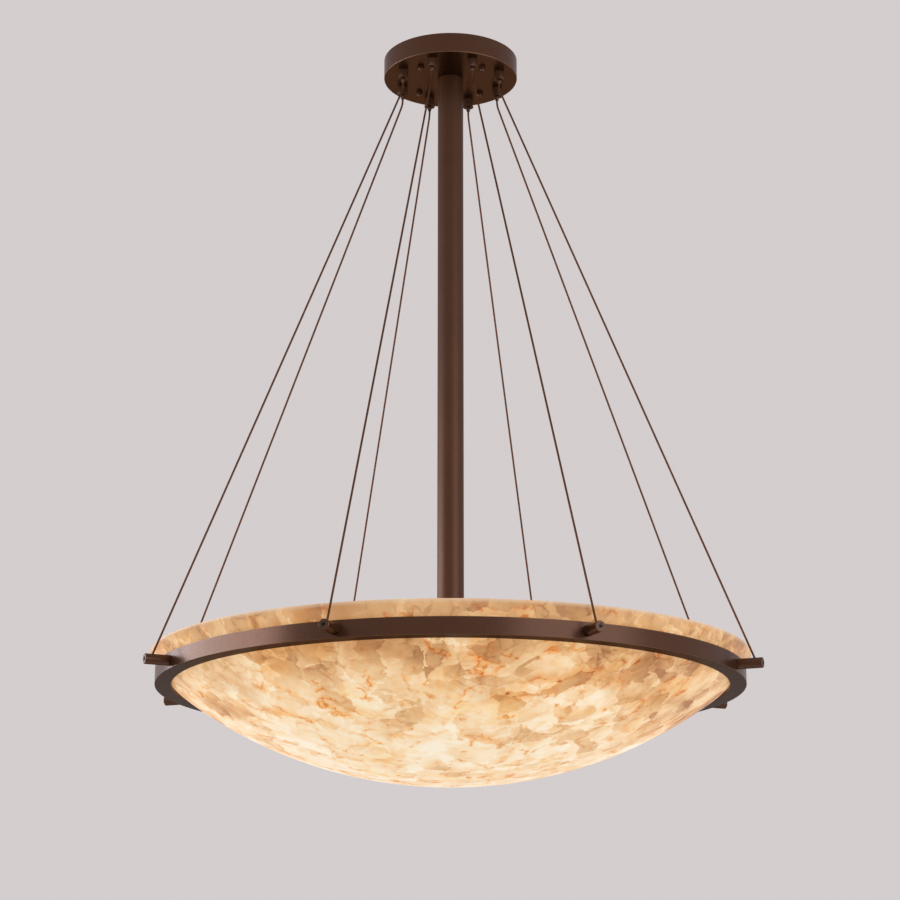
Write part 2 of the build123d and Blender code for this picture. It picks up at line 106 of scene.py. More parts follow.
def vectorCalc(tree, operation, first, second):
    node = addNode(tree, "VectorMath", operation=operation)
    plug(tree, first, node.inputs[0])
    plug(tree, second, node.inputs["Scale"] if operation == "SCALE" else node.inputs[1])
    return node.outputs["Value" if operation == "DOT_PRODUCT" else "Vector"]


def remap(tree, value, low, high, toLow=0.0, toHigh=1.0, smooth=True):
    node = addNode(tree, "MapRange", interpolation_type="SMOOTHSTEP" if smooth else "LINEAR")
    for name, number in zip(("Value", "From Min", "From Max", "To Min", "To Max"),
                            (value, low, high, toLow, toHigh)):
        plug(tree, number, node.inputs[name])
    return node.outputs["Result"]


def mixColor(tree, factor, first, second, blend="MIX"):
    # the Mix node's colour sockets come after those for numbers and vectors
    node = addNode(tree, "Mix", data_type="RGBA", blend_type=blend)
    plug(tree, factor, node.inputs[0])
    plug(tree, first, node.inputs[6])
    plug(tree, second, node.inputs[7])
    return node.outputs[2]


def ramp(tree, factor, stops):
    node = addNode(tree, "ValToRGB", {"Fac": factor})
    band = node.color_ramp
    while len(band.elements) < len(stops):
        band.elements.new(1.0)
    for element, (position, color) in zip(band.elements, stops):
        element.position = position
        element.color = (*color, 1.0)
    return node.outputs["Color"]


def noise(tree, vector, scale, detail=2.0, roughness=0.5):
    return addNode(tree, "TexNoise", {"Vector": vector, "Scale": scale, "Detail": detail,
                                      "Roughness": roughness}).outputs


def cells(tree, vector, scale, feature="F1"):
    return addNode(tree, "TexVoronoi", {"Vector": vector, "Scale": scale}, feature=feature).outputs


def split(tree, color):
    return addNode(tree, "SeparateColor", {"Color": color}).outputs


def axes(tree, vector):
    return addNode(tree, "SeparateXYZ", {"Vector": vector}).outputs


def objectPlace(tree):
    return addNode(tree, "TexCoord").outputs["Object"]


def newMaterial(name, **constants):
    material = bpy.data.materials.new(name)
    material.use_nodes = True
    tree = material.node_tree
    shader = tree.nodes["Principled BSDF"]
    for socket, value in constants.items():
        shader.inputs[socket].default_value = value
    return material, tree, shader


def newGroup(name, inputs, outputs):
    group = bpy.data.node_groups.new(name, "ShaderNodeTree")
    for socket, value in inputs.items():
        kind = "NodeSocketColor" if isinstance(value, tuple) else "NodeSocketFloat"
        made = group.interface.new_socket(name=socket, in_out="INPUT", socket_type=kind)
        made.default_value = value
    for socket, kind in outputs.items():
        group.interface.new_socket(name=socket, in_out="OUTPUT", socket_type="NodeSocket" + kind)
    start = group.nodes.new("NodeGroupInput").outputs
    end = group.nodes.new("NodeGroupOutput").inputs
    return group, start, end


def useGroup(tree, group, **values):
    node = tree.nodes.new("ShaderNodeGroup")
    node.node_tree = group
    for name, value in values.items():
        plug(tree, value, node.inputs[name])
    return node.outputs


def bumpFrom(tree, shader, height, strength, distance):
    bump = addNode(tree, "Bump", {"Height": height, "Strength": strength, "Distance": distance})
    tree.links.new(bump.outputs["Normal"], shader.inputs["Normal"])


# Effects that several finishes share

def makeEdgeWear():
    # pale colour where two faces meet, broken up along the edge: wear, and on the bronze finishes a painted
    # highlight as well
    group, start, end = newGroup(
        "edgeWear",
        {"Color": (0.5, 0.5, 0.5, 1.0), "Worn": (0.8, 0.8, 0.8, 1.0), "Radius": 0.001,
         "Amount": 0.5, "Breakup": 90.0},
        {"Color": "Color"})
    rounded = addNode(group, "Bevel", {"Radius": start["Radius"]}, samples=6).outputs["Normal"]
    plain = addNode(group, "NewGeometry").outputs["Normal"]
    flat, sharp = 0.985, 0.86    # cosines between the two normals
    edge = remap(group, vectorCalc(group, "DOT_PRODUCT", rounded, plain), flat, sharp)
    patch = noise(group, objectPlace(group), start["Breakup"], detail=3.0)["Fac"]
    whole, worn = 0.36, 0.62     # levels of the noise
    broken = remap(group, patch, whole, worn)
    mask = calc(group, "MULTIPLY", times(group, edge, broken), start["Amount"], clamp=True)
    plug(group, mixColor(group, mask, start["Color"], start["Worn"]), end["Color"])
    return group


def makeMottle():
    # cloudy change between two tones, with a finer one laid over it
    group, start, end = newGroup(
        "mottle",
        {"Dark": (0.1, 0.1, 0.1, 1.0), "Light": (0.2, 0.2, 0.2, 1.0), "Scale": 20.0, "Contrast": 1.0},
        {"Color": "Color"})
    broadShare, fineShare = 0.7, 0.3
    fineness, gain = 9.0, 3.0
    place = objectPlace(group)
    broad = noise(group, place, start["Scale"], detail=4.0, roughness=0.6)["Fac"]
    fine = noise(group, place, times(group, start["Scale"], fineness))["Fac"]
    mixed = plus(group, times(group, broad, broadShare), times(group, fine, fineShare))
    centred = times(group, calc(group, "SUBTRACT", mixed, 0.5), start["Contrast"])
    factor = calc(group, "ADD", times(group, centred, gain), 0.5, clamp=True)
    plug(group, mixColor(group, factor, start["Dark"], start["Light"]), end["Color"])
    return group


def makeGrain():
    # fine even roughness of a sprayed, cast or moulded skin
    group, start, end = newGroup(
        "grain",
        {"Scale": 900.0, "Roughness": 0.4, "Variation": 0.1},
        {"Height": "Float", "Roughness": "Float"})
    broadness = 0.06
    place = objectPlace(group)
    fine = noise(group, place, start["Scale"], roughness=0.6)["Fac"]
    broad = noise(group, place, times(group, start["Scale"], broadness), detail=3.0)["Fac"]
    spread = times(group, calc(group, "SUBTRACT", broad, 0.5), start["Variation"])
    plug(group, fine, end["Height"])
    plug(group, plus(group, start["Roughness"], times(group, spread, 2.0)), end["Roughness"])
    return group


def makeThread():
    # ridges of a screw thread along the object's own Z
    group, start, end = newGroup("thread", {"Pitch": 0.001}, {"Height": "Float"})
    height = axes(group, objectPlace(group))["Z"]
    turns = calc(group, "FRACT", calc(group, "DIVIDE", height, start["Pitch"]))
    fromMiddle = calc(group, "ABSOLUTE", calc(group, "SUBTRACT", turns, 0.5))
    plug(group, times(group, fromMiddle, 2.0), end["Height"])
    return group


def makeUnderside():
    # faces that look down get their own colour and metallic: painted light and shade on the undersides;
    # rounded faces that look partly down get the edge colour as a painted highlight
    group, start, end = newGroup(
        "underside",
        {"Color": (0.1, 0.1, 0.1, 1.0), "Bare": (0.1, 0.1, 0.1, 1.0), "Worn": (0.3, 0.3, 0.3, 1.0),
         "Side": 0.2, "Under": 1.0, "Rub": 0.0},
        {"Color": "Color", "Metallic": "Float"})
    facing = axes(group, addNode(group, "TexCoord").outputs["Normal"])["Z"]
    # limits are the Z of the normal, which is -1 on a face that looks straight down
    lastSide, firstUnder = -0.4, -0.85
    rubStart, rubFull, rubFade, rubEnd = -0.15, -0.5, -0.6, -0.95
    plug(group, remap(group, facing, lastSide, firstUnder, start["Side"], start["Under"]), end["Metallic"])
    coat = mixColor(group, remap(group, facing, lastSide, firstUnder), start["Color"], start["Bare"])
    curved = times(group, remap(group, facing, rubStart, rubFull), remap(group, facing, rubEnd, rubFade))
    rubbed = mixColor(group, times(group, curved, start["Rub"]), coat, start["Worn"])
    plug(group, rubbed, end["Color"])
    return group


edgeWear = makeEdgeWear()
underside = makeUnderside()
mottle = makeMottle()
grain = makeGrain()
thread = makeThread()
print("shared effects made")


# Finishes made of the shared effects

def makeFinish(name, finish):
    material, tree, shader = newMaterial(name, **finish["shader"])
    tone = useGroup(tree, mottle, Dark=finish["dark"], Light=finish["light"], Scale=finish["cloud"],
                    Contrast=finish["contrast"])
    # edge colour: wear, and on the bronze finishes a painted highlight
    worn = useGroup(tree, edgeWear, Color=tone["Color"], Worn=finish["worn"], Radius=finish["edge"],
                    Amount=finish["wear"])
    skin = useGroup(tree, grain, Scale=finish["grain"], Roughness=finish["roughness"],
                    Variation=finish["variation"])
    color = worn["Color"]
    plug(tree, skin["Roughness"], shader.inputs["Roughness"])
    # faces that look down get painted light and shade, and rounded lower edges a painted highlight
    if "under" in finish:
        bare = useGroup(tree, underside, Color=color, Bare=finish["bare"], Worn=finish["worn"],
                        Side=finish["side"], Under=finish["under"], Rub=finish["rub"])
        color = bare["Color"]
        plug(tree, bare["Metallic"], shader.inputs["Metallic"])
    plug(tree, color, shader.inputs["Base Color"])
    height = skin["Height"]
    if "pitch" in finish:
        ridges = useGroup(tree, thread, Pitch=finish["pitch"])
        height = plus(tree, times(tree, height, finish["skinShare"]), ridges["Height"])
    bumpFrom(tree, shader, height, finish["bump"], finish["depth"])
    return material


# satin bronze lacquer; side and under say how metallic a face is, by the way that it looks, and faces that
# look down also take their own paler colour: painted light and shade on the undersides
bronzePaint = {
    "shader": {"IOR": 1.6, "Specular IOR Level": 0.9, "Specular Tint": (0.34, 0.32, 0.31, 1.0)},
    "side": 0.42,
    "under": 0.95,
    # colour of faces that look down: painted light that makes the undersides render paler
    "bare": (0.120, 0.064, 0.040, 1.0),
    # share of the edge colour laid as a painted highlight on rounded faces that look partly down
    "rub": 0.3,
    "dark": (0.071, 0.0260, 0.0110, 1.0),
    "light": (0.097, 0.0365, 0.0165, 1.0),
    # edge colour: wear, and a painted highlight along the lower edges
    "worn": (0.34, 0.19, 0.11, 1.0),
    "cloud": 13.0,
    "contrast": 0.5,
    "edge": 0.0018,
    "wear": 0.5,
    "grain": 1500.0,
    "roughness": 0.28,
    "variation": 0.04,
    "bump": 0.004,
    "depth": 0.0002,
}
studPaint = dict(bronzePaint, rub=0.0)
stemPaint = dict(studPaint, roughness=0.41)
turnedBronze = dict(
    studPaint,
    side=0.4,
    dark=(0.088, 0.041, 0.023, 1.0),
    light=(0.120, 0.059, 0.035, 1.0),
    # pale edge colour, laid on strongly: painted highlight on the grips' rims, with some wear
    worn=(0.56, 0.38, 0.27, 1.0),
    edge=0.0008,
    wear=0.9,
    cloud=30.0,
    contrast=0.3,
    roughness=0.25,
)
# the finishes below are the same all round
sprayed = ("side", "under", "bare", "rub")
plainPaint = {name: value for name, value in bronzePaint.items() if name not in sprayed}
cableWire = dict(
    plainPaint,
    shader={"Metallic": 0.85, "Specular Tint": (0.45, 0.36, 0.30, 1.0)},
    dark=(0.080, 0.034, 0.018, 1.0),
    light=(0.17, 0.078, 0.044, 1.0),
    worn=(0.46, 0.27, 0.17, 1.0),
    edge=0.0002,
    wear=0.3,
    cloud=110.0,
    contrast=0.3,
    roughness=0.46,
)
darkSteel = dict(
    plainPaint,
    shader={"Metallic": 0.9},
    dark=(0.030, 0.024, 0.021, 1.0),
    light=(0.075, 0.060, 0.052, 1.0),
    worn=(0.30, 0.26, 0.23, 1.0),
    edge=0.0004,
    cloud=120.0,
    roughness=0.42,
)
zincSteel = dict(
    plainPaint,
    shader={"Metallic": 1.0},
    dark=(0.38, 0.38, 0.37, 1.0),
    light=(0.62, 0.61, 0.58, 1.0),
    worn=(0.80, 0.80, 0.79, 1.0),
    edge=0.0006,
    wear=0.6,
    cloud=45.0,
    contrast=1.0,
    grain=1100.0,
    roughness=0.36,
    variation=0.16,
)
zincThread = dict(zincSteel, pitch=0.0008, skinShare=0.1, bump=0.7, depth=0.0005)
brassThread = dict(
    zincSteel,
    dark=(0.46, 0.30, 0.11, 1.0),
    light=(0.72, 0.53, 0.25, 1.0),
    worn=(0.86, 0.70, 0.40, 1.0),
    pitch=0.001,
    skinShare=0.1,
    bump=0.6,
    depth=0.0006,
    roughness=0.30,
)
darkRubber = dict(
    plainPaint,
    shader={"Metallic": 0.0, "Specular IOR Level": 0.25},
    dark=(0.018, 0.015, 0.013, 1.0),
    light=(0.034, 0.029, 0.026, 1.0),
    worn=(0.07, 0.06, 0.055, 1.0),
    edge=0.0005,
    grain=700.0,
    roughness=0.75,
    bump=0.4,
)
socketCeramic = dict(
    plainPaint,
    shader={"Metallic": 0.0, "Coat Weight": 0.35, "Coat Roughness": 0.12},
    dark=(0.74, 0.70, 0.62, 1.0),
    light=(0.86, 0.83, 0.77, 1.0),
    worn=(0.90, 0.88, 0.83, 1.0),
    edge=0.0008,
    cloud=40.0,
    grain=500.0,
    roughness=0.33,
    bump=0.12,
)
palePlastic = dict(
    socketCeramic,
    shader={"Metallic": 0.0, "Specular IOR Level": 0.4},
    dark=(0.70, 0.68, 0.61, 1.0),
    light=(0.80, 0.78, 0.72, 1.0),
    grain=1300.0,
    roughness=0.5,
)
connectorPlastic = dict(
    palePlastic,
    dark=(0.60, 0.20, 0.035, 1.0),
    light=(0.78, 0.31, 0.06, 1.0),
    worn=(0.86, 0.46, 0.18, 1.0),
)
wireJacket = dict(
    darkRubber,
    dark=(0.030, 0.028, 0.027, 1.0),
    light=(0.055, 0.052, 0.050, 1.0),
    cloud=25.0,
    roughness=0.45,
)


def dress(material, *names):
    for name in names:
        slots = nodes[name].data.materials
        slots.clear()
        slots.append(material)


def numbered(name):
    return sorted(node for node in nodes if node.startswith(name + "_") and node.split("_")[-1].isdigit())


finishes = {
    "bronze_paint": (bronzePaint, ["canopy", "support_ring"]),
    "stud_paint": (studPaint, ["canopy_cap_nuts", "ring_studs", "cluster_hub", "cluster_cover"]),
    "stem_paint": (stemPaint, ["stem"]),
    "turned_bronze": (turnedBronze, numbered("cable_grip") + numbered("grip_plunger")),
    "dark_steel": (darkSteel, ["stud_grub_screws"]),
    "zinc_steel": (zincSteel, ["ceiling_plate", "grip_nuts", "stud_nuts", "stem_washers", "stem_end_plugs"]),
    "zinc_thread": (zincThread, ["plate_studs"]),
    "brass_thread": (brassThread, ["stem_nipples", "stem_lock_nuts"]),
    "dark_rubber": (darkRubber, ["bowl_seat_gasket"]),
    "socket_ceramic": (socketCeramic, numbered("lamp_socket")),
    "pale_plastic": (palePlastic, ["terminal_block"]),
    "connector_plastic": (connectorPlastic, ["wire_connectors"]),
    "bronze_cable": (cableWire, []),
    "wire_jacket": (wireJacket, []),
}
materials = {}
for name, (finish, members) in finishes.items():
    materials[name] = makeFinish(name, finish)
    dress(materials[name], *members)
print("CAD nodes dressed in", len(finishes), "finishes")


# Bowl: stone flakes in clear resin, with a painted glow for the light from inside

# heights are shares of the bowl's height
# a patch is its scale, the noise at which it starts and is full, and its most
bowlFlakes = {
    "bottom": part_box("bowl")[0].z,
    "rim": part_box("bowl")[1].z,
    # thin stone to thick stone, as the lamps shine through it; the tone that picks a colour also carries
    # painted light and shade
    "ramp": [(0.0, (1.0, 0.89, 0.69)), (0.2, (0.985, 0.785, 0.53)), (0.4, (0.92, 0.63, 0.345)),
             (0.6, (0.77, 0.45, 0.20)), (0.8, (0.60, 0.315, 0.125)), (1.0, (0.40, 0.17, 0.06))],
    # painted light by height: palest at the bottom, where the lamps are nearest
    "rise": [(0.0, 0.18), (0.12, 0.23), (0.32, 0.34), (0.6, 0.56), (0.76, 0.68), (0.86, 0.80), (1.0, 0.80)],
    # painted shade: the tone darkens towards +X, as if lit from -X, over a reach to both sides of the middle
    "thicker": {"reach": 0.30, "tone": 0.075},
    # swirls that bend the clouds and stains: scale and distance of each step
    "drift": {"offset": (4.0, 1.0, 2.0), "steps": [(5.0, 0.12), (17.0, 0.035)]},
    "cloud": {"scale": 9.0, "detail": 5.0, "roughness": 0.58},
    "cloudWeight": 0.52,
    # flakes show less towards the rim, where the resin is thicker
    "soften": {"from": 0.55, "to": 0.90, "low": 0.85, "high": 0.60},
    "clearJoints": {"edge": (0.08, 0.01), "patch": (5.0, 0.45, 0.62, 0.18)},
    "closeJoints": {"edge": (0.12, 0.0), "patch": (13.0, 0.46, 0.60, 0.16)},
    # stains filter the light behind them
    "honey": (1.0, 0.85, 0.58),
    "honeyPatch": (12.0, 0.50, 0.68, 0.75),
    "honeyOffset": (0.31, 0.0, 0.17),
    "taupe": (0.83, 0.70, 0.57),
    "taupePatch": (8.5, 0.52, 0.66, 0.8),
    "taupeRise": (0.1, 0.65),
    "amber": (0.99, 0.70, 0.38),
    "rust": (0.74, 0.46, 0.23),
    "speck": (0.22, 0.10, 0.06),
    # iron in the joints of the three coarser layers: amber bleed about a broken rust line
    "iron": [
        {"patch": (10.0, 0.55, 0.65), "bleed": 0.16, "line": 0.020},
        {"patch": (14.0, 0.57, 0.67), "bleed": 0.20, "line": 0.032},
        {"patch": (19.0, 0.59, 0.69), "bleed": 0.26, "line": 0.055},
    ],
    "ironBreaks": (42.0, 0.43, 0.58),
    "ironCore": 0.004,
    "bleedDepth": 0.85,
    "lineDepth": 0.9,
    "dashes": {"offset": (0.9, 2.7, 1.1), "steps": [(30.0, 0.03), (90.0, 0.008)], "scale": 26.0,
               "patch": (26.0, 0.57, 0.65), "bleed": (0.07, 0.0), "line": (0.016, 0.003), "depth": 0.8},
    "specks": {"scale": 30.0, "chosen": (0.970, 0.980), "halo": (0.34, 0.10), "dot": (0.17, 0.07),
               "depth": 0.9},
    # painted light: the rim band stands clear of the lamps and is drawn towards a pale daylight tone, with a
    # painted highlight along its top edge
    "edgeTone": (0.70, 0.53, 0.37),
    "palerRim": [(0.78, 0.92, 0.1), (0.968, 0.990, 0.5)],    # from, to, share
    "specular": 0.4,
    "glowStrength": 0.71,
    "baseShare": 0.52,
    "skin": {"Scale": 260.0, "Roughness": 0.40, "Variation": 0.08},
    "bump": 0.2,
    "bumpDepth": 0.004,
}
# each layer: flakes to a metre, offset of its pattern, weight in the tone
bowlLayers = [
    {"scale": 11.0, "offset": (0.0, 0.0, 0.0), "weight": 0.25},
    {"scale": 21.0, "offset": (1.7, 0.4, 2.3), "weight": 0.33},
    {"scale": 38.0, "offset": (0.6, 2.9, 1.2), "weight": 0.12},
    {"scale": 70.0, "offset": (2.2, 1.3, 0.5), "weight": 0.05},
]
# how a flake is bent, in shares of its size, and how its tone varies
flake = {
    "bends": [(0.6, 1.2), (2.4, 0.45), (8.0, 0.13)],
    "slope": 0.26,
    "slopeTone": 0.57,
    "ownTone": 0.8,
}
noiseMiddle = (0.5, 0.5, 0.5)


def warped(tree, place, offset, steps):
    moved = vectorCalc(tree, "ADD", place, offset)
    for scale, distance in steps:
        swirl = vectorCalc(tree, "SUBTRACT", noise(tree, moved, scale)["Color"], noiseMiddle)
        moved = vectorCalc(tree, "ADD", moved, vectorCalc(tree, "SCALE", swirl, distance))
    return moved


def flakeTone(tree, place, layer):
    # every flake has its own tone, which also slopes across it
    scale = layer["scale"]
    bends = [(often * scale, far / scale) for often, far in flake["bends"]]
    spot = warped(tree, place, layer["offset"], bends)
    cell = cells(tree, spot, scale)
    lean = vectorCalc(tree, "SUBTRACT", cell["Color"], noiseMiddle)
    across = vectorCalc(tree, "SCALE", vectorCalc(tree, "SUBTRACT", spot, cell["Position"]), scale)
    slope = remap(tree, vectorCalc(tree, "DOT_PRODUCT", across, lean), -flake["slope"], flake["slope"],
                  -flake["slopeTone"], flake["slopeTone"], smooth=False)
    own = times(tree, calc(tree, "SUBTRACT", split(tree, cell["Color"])["Red"], 0.5), flake["ownTone"])
    return times(tree, plus(tree, own, slope), layer["weight"]), spot


def patches(tree, vector, scale, low, high, most=1.0, detail=3.0, roughness=0.6):
    return remap(tree, noise(tree, vector, scale, detail, roughness)["Fac"], low, high, 0.0, most)


def stained(tree, color, amount, stain):
    return mixColor(tree, amount, color, (*stain, 1.0), "MULTIPLY")


def stoneTone(tree, look, layers, spread):
    # the tone, which holds painted light by height and painted shade along X besides the stone's clouds and
    # flakes, and the distance to the joints of the coarser layers
    tone = ramp(tree, spread["up"], [(at, (level, level, level)) for at, level in look["rise"]])
    # painted shade along X
    reach, most = look["thicker"]["reach"], look["thicker"]["tone"]
    aside = axes(tree, spread["place"])["X"]
    tone = plus(tree, tone, remap(tree, aside, -reach, reach, -most, most, smooth=False))
    cloudTone = times(tree, calc(tree, "SUBTRACT", spread["cloud"], 0.5), look["cloudWeight"])
    tone = plus(tree, tone, cloudTone)
    spots = []
    for layer in layers:
        own, spot = flakeTone(tree, spread["place"], layer)
        tone = plus(tree, tone, times(tree, own, spread["soften"]))
        spots.append(spot)
    coarse = spots[:len(look["iron"])]
    gaps = [cells(tree, spot, layer["scale"], "DISTANCE_TO_EDGE")["Distance"]
            for spot, layer in zip(coarse, layers)]
    # clear resin shows as paler joints between some of the flakes, other joints are darker
    clear, close = look["clearJoints"], look["closeJoints"]
    pale = times(tree, remap(tree, gaps[1], *clear["edge"]), patches(tree, spread["place"], *clear["patch"]))
    dark = times(tree, remap(tree, gaps[2], *close["edge"]), patches(tree, spread["drift"], *close["patch"]))
    return plus(tree, calc(tree, "SUBTRACT", tone, pale), dark), gaps


def ironStains(tree, look, color, gaps, spread):
    broken = patches(tree, spread["drift"], *look["ironBreaks"])
    for gap, vein in zip(gaps, look["iron"]):
        present = times(tree, patches(tree, spread["place"], *vein["patch"]), spread["soften"])
        bleed = times(tree, remap(tree, gap, vein["bleed"], 0.0), times(tree, present, look["bleedDepth"]))
        color = stained(tree, color, bleed, look["amber"])
        line = times(tree, remap(tree, gap, vein["line"], look["ironCore"]), broken)
        color = stained(tree, color, times(tree, line, times(tree, present, look["lineDepth"])), look["rust"])
    return color


def dashesAndSpecks(tree, look, color, place):
    dashes, specks = look["dashes"], look["specks"]
    spot = warped(tree, place, dashes["offset"], dashes["steps"])
    wave = calc(tree, "SUBTRACT", noise(tree, spot, dashes["scale"])["Fac"], 0.5)
    off = calc(tree, "ABSOLUTE", wave)
    rare = patches(tree, place, *dashes["patch"], detail=1.0)
    color = stained(tree, color, times(tree, remap(tree, off, *dashes["bleed"]), rare), look["amber"])
    line = times(tree, remap(tree, off, *dashes["line"]), times(tree, rare, dashes["depth"]))
    color = stained(tree, color, line, look["rust"])
    dots = cells(tree, spot, specks["scale"])
    chosen = remap(tree, split(tree, dots["Color"])["Red"], *specks["chosen"])
    chosen = times(tree, chosen, specks["depth"])
    for part, stain in (("halo", "amber"), ("dot", "speck")):
        disc = remap(tree, dots["Distance"], *specks[part])
        color = stained(tree, color, times(tree, disc, chosen), look[stain])
    return color


def flakeResin(look, layers):
    material, tree, shader = newMaterial("stone_flake_resin", **{"Specular IOR Level": look["specular"]})
    place = objectPlace(tree)
    up = remap(tree, axes(tree, place)["Z"], look["bottom"], look["rim"], smooth=False)
    soften = look["soften"]
    drift = warped(tree, place, look["drift"]["offset"], look["drift"]["steps"])
    spread = {
        "place": place,
        "up": up,
        "drift": drift,
        "cloud": noise(tree, drift, **look["cloud"])["Fac"],
        "soften": remap(tree, up, soften["from"], soften["to"], soften["low"], soften["high"]),
    }
    tone, gaps = stoneTone(tree, look, layers, spread)
    color = ramp(tree, tone, look["ramp"])
    aside = vectorCalc(tree, "ADD", drift, look["honeyOffset"])
    color = stained(tree, color, patches(tree, aside, *look["honeyPatch"]), look["honey"])
    taupe = times(tree, patches(tree, place, *look["taupePatch"]), remap(tree, up, *look["taupeRise"]))
    color = stained(tree, color, taupe, look["taupe"])
    color = ironStains(tree, look, color, gaps, spread)
    color = dashesAndSpecks(tree, look, color, place)
    # painted light on the rim band, and a painted highlight along its top edge
    for start, end, share in look["palerRim"]:
        color = mixColor(tree, remap(tree, up, start, end, 0.0, share), color, (*look["edgeTone"], 1.0))

    # the colour also glows: painted glow that stands in for the bulbs' light through the stone
    share = look["baseShare"]
    base = mixColor(tree, 1.0, color, (share, share, share, 1.0), "MULTIPLY")
    plug(tree, base, shader.inputs["Base Color"])
    plug(tree, color, shader.inputs["Emission Color"])
    shader.inputs["Emission Strength"].default_value = look["glowStrength"]
    skin = useGroup(tree, grain, **look["skin"])
    plug(tree, skin["Roughness"], shader.inputs["Roughness"])
    bumpFrom(tree, shader, spread["cloud"], look["bump"], look["bumpDepth"])
    return material


dress(flakeResin(bowlFlakes, bowlLayers), "bowl")
print("bowl dressed in", len(bowlLayers), "layers of flakes")


# Small helpers for pieces

def addPiece(name, data, material, body, replaced=(), place=None):
    piece = bpy.data.objects.new(name, data)
    scene.collection.objects.link(piece)
    data.materials.append(material)
    if place is not None:
        piece.matrix_world = place
    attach(piece, body)
    if replaced:
        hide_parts(*replaced)
    return piece


def meshFrom(name, points, faces):
    # end faces stay flat
    mesh = bpy.data.meshes.new(name)
    mesh.from_pydata(points, [], faces)
    mesh.polygons.foreach_set("use_smooth", [len(face) < 5 for face in faces])
    mesh.update()
    return mesh


def skinned(rings, around):
    # faces of a closed tube whose points come ring by ring
    faces = [
        (ring * around + step, ring * around + (step + 1) % around,
         (ring + 1) * around + (step + 1) % around, (ring + 1) * around + step)
        for ring in range(rings - 1) for step in range(around)
    ]
    faces.append(tuple(reversed(range(around))))
    faces.append(tuple(range((rings - 1) * around, rings * around)))
    return faces


def turned(radius, height, angle):
    return Vector((radius * cos(angle), radius * sin(angle), height))


def angles(piece):
    return [radians(piece["firstAngle"] + 360 / piece["count"] * number) for number in range(piece["count"])]


def routeCurve(name, points):
    # a smooth line with the route's points as its control points
    curve = bpy.data.curves.new(name, "CURVE")
    curve.dimensions = "3D"
    curve.resolution_u = 24
    spline = curve.splines.new("NURBS")
    spline.points.add(len(points) - 1)
    for knot, point in zip(spline.points, points):
        knot.co = (*point, 1.0)
    spline.order_u = 3
    spline.use_endpoint_u = True
    return curve


def lineOf(curve):
    bare = bpy.data.objects.new("route", curve)
    mesh = bpy.data.meshes.new_from_object(bare)
    line = [vertex.co.copy() for vertex in mesh.vertices]
    bpy.data.objects.remove(bare)
    bpy.data.meshes.remove(mesh)
    return line


# Cables: twelve wires laid round a core, from the grips to the ring studs

cable = {
    "count": 8,
    "firstAngle": 22.5,
    "diameter": 0.0032,
    "length": 1.1125,
    "strands": 12,
    "lay": 0.032,            # length of one turn of a strand
    "ringsPerTurn": 12,
    "pointsPerStrand": 3,
    "compacted": 0.45,       # share of a round wire's groove that is left
    "exit": (0.086, -0.047),
    "route": [(0.086, -0.0205), (0.086, -0.0496), (0.086, -0.064), (0.0914, -0.0774), (0.4873, -1.0550)],
}


def lengthsAlong(line):
    along = [0.0]
    for first, second in zip(line, line[1:]):
        along.append(along[-1] + (second - first).length)
    return along


def evenly(line, count):
    along = lengthsAlong(line)
    spaced, index = [], 0
    for step in range(count + 1):
        goal = along[-1] * step / count
        while index < len(line) - 2 and along[index + 1] < goal:
            index += 1
        share = (goal - along[index]) / (along[index + 1] - along[index])
        spaced.append(line[index].lerp(line[index + 1], share))
    return spaced


def strandReach(turnFromStrand, radius, settings):
    # distance of a bundle's outline from its middle, for strands that touch each other
    share = sin(pi / settings["strands"])
    strandRadius = radius * share / (1 + share)
    middle = radius - strandRadius
    offset = middle * sin(turnFromStrand)
    reach = middle * cos(turnFromStrand) + sqrt(max(strandRadius**2 - offset**2, 0.0))
    return radius - (radius - reach) * settings["compacted"]


def strandedMesh(name, line, side, settings):
    rings = round(lengthsAlong(line)[-1] / settings["lay"] * settings["ringsPerTurn"])
    spaced = evenly(line, rings)
    around = settings["strands"] * settings["pointsPerStrand"]
    points = []
    for index, centre in enumerate(spaced):
        ahead = spaced[min(index + 1, rings)] - spaced[max(index - 1, 0)]
        up = ahead.normalized().cross(side)
        twist = 2 * pi * index / settings["ringsPerTurn"]
        for corner in range(around):
            inStrand = corner % settings["pointsPerStrand"] / settings["pointsPerStrand"] - 0.5
            reach = strandReach(inStrand * 2 * pi / settings["strands"], settings["diameter"] / 2, settings)
            angle = 2 * pi * corner / around + twist
            points.append(centre + reach * (cos(angle) * side + sin(angle) * up))
    return meshFrom(name, points, skinned(len(spaced), around)), spaced


for number, angle in enumerate(angles(cable), start=1):
    route = [turned(radius, height, angle) for radius, height in cable["route"]]
    line = lineOf(routeCurve(f"cable_route_{number}", route))
    name = f"suspension_rope_{number}"
    mesh, centres = strandedMesh(name, line, Vector((-sin(angle), cos(angle), 0)), cable)
    rope = addPiece(name, mesh, materials["bronze_cable"], "frame",
                    [f"suspension_cable_{number}"])
print("cables laid:", cable["count"])


# Lead wires: up the stem and over to the connectors in the canopy

lead = {
    "count": 3,
    "firstAngle": 90.0,
    "diameter": 0.0026,
    "route": [(0.0016, -1.0445), (0.0016, -0.0266), (0.0016, -0.011), (0.0172, -0.011), (0.0375, -0.011)],
}
for number, angle in enumerate(angles(lead), start=1):
    name = f"lead_wire_{number}"
    wire = routeCurve(name, [turned(*point, angle) for point in lead["route"]])
    wire.bevel_depth = lead["diameter"] / 2
    wire.bevel_resolution = 4
    wire.use_fill_caps = True
    addPiece(name, wire, materials["wire_jacket"], "frame", ["lead_wires"])
print("lead wires laid:", lead["count"])


# Bulbs: opal globe, plastic collar and a screw cap with its contact

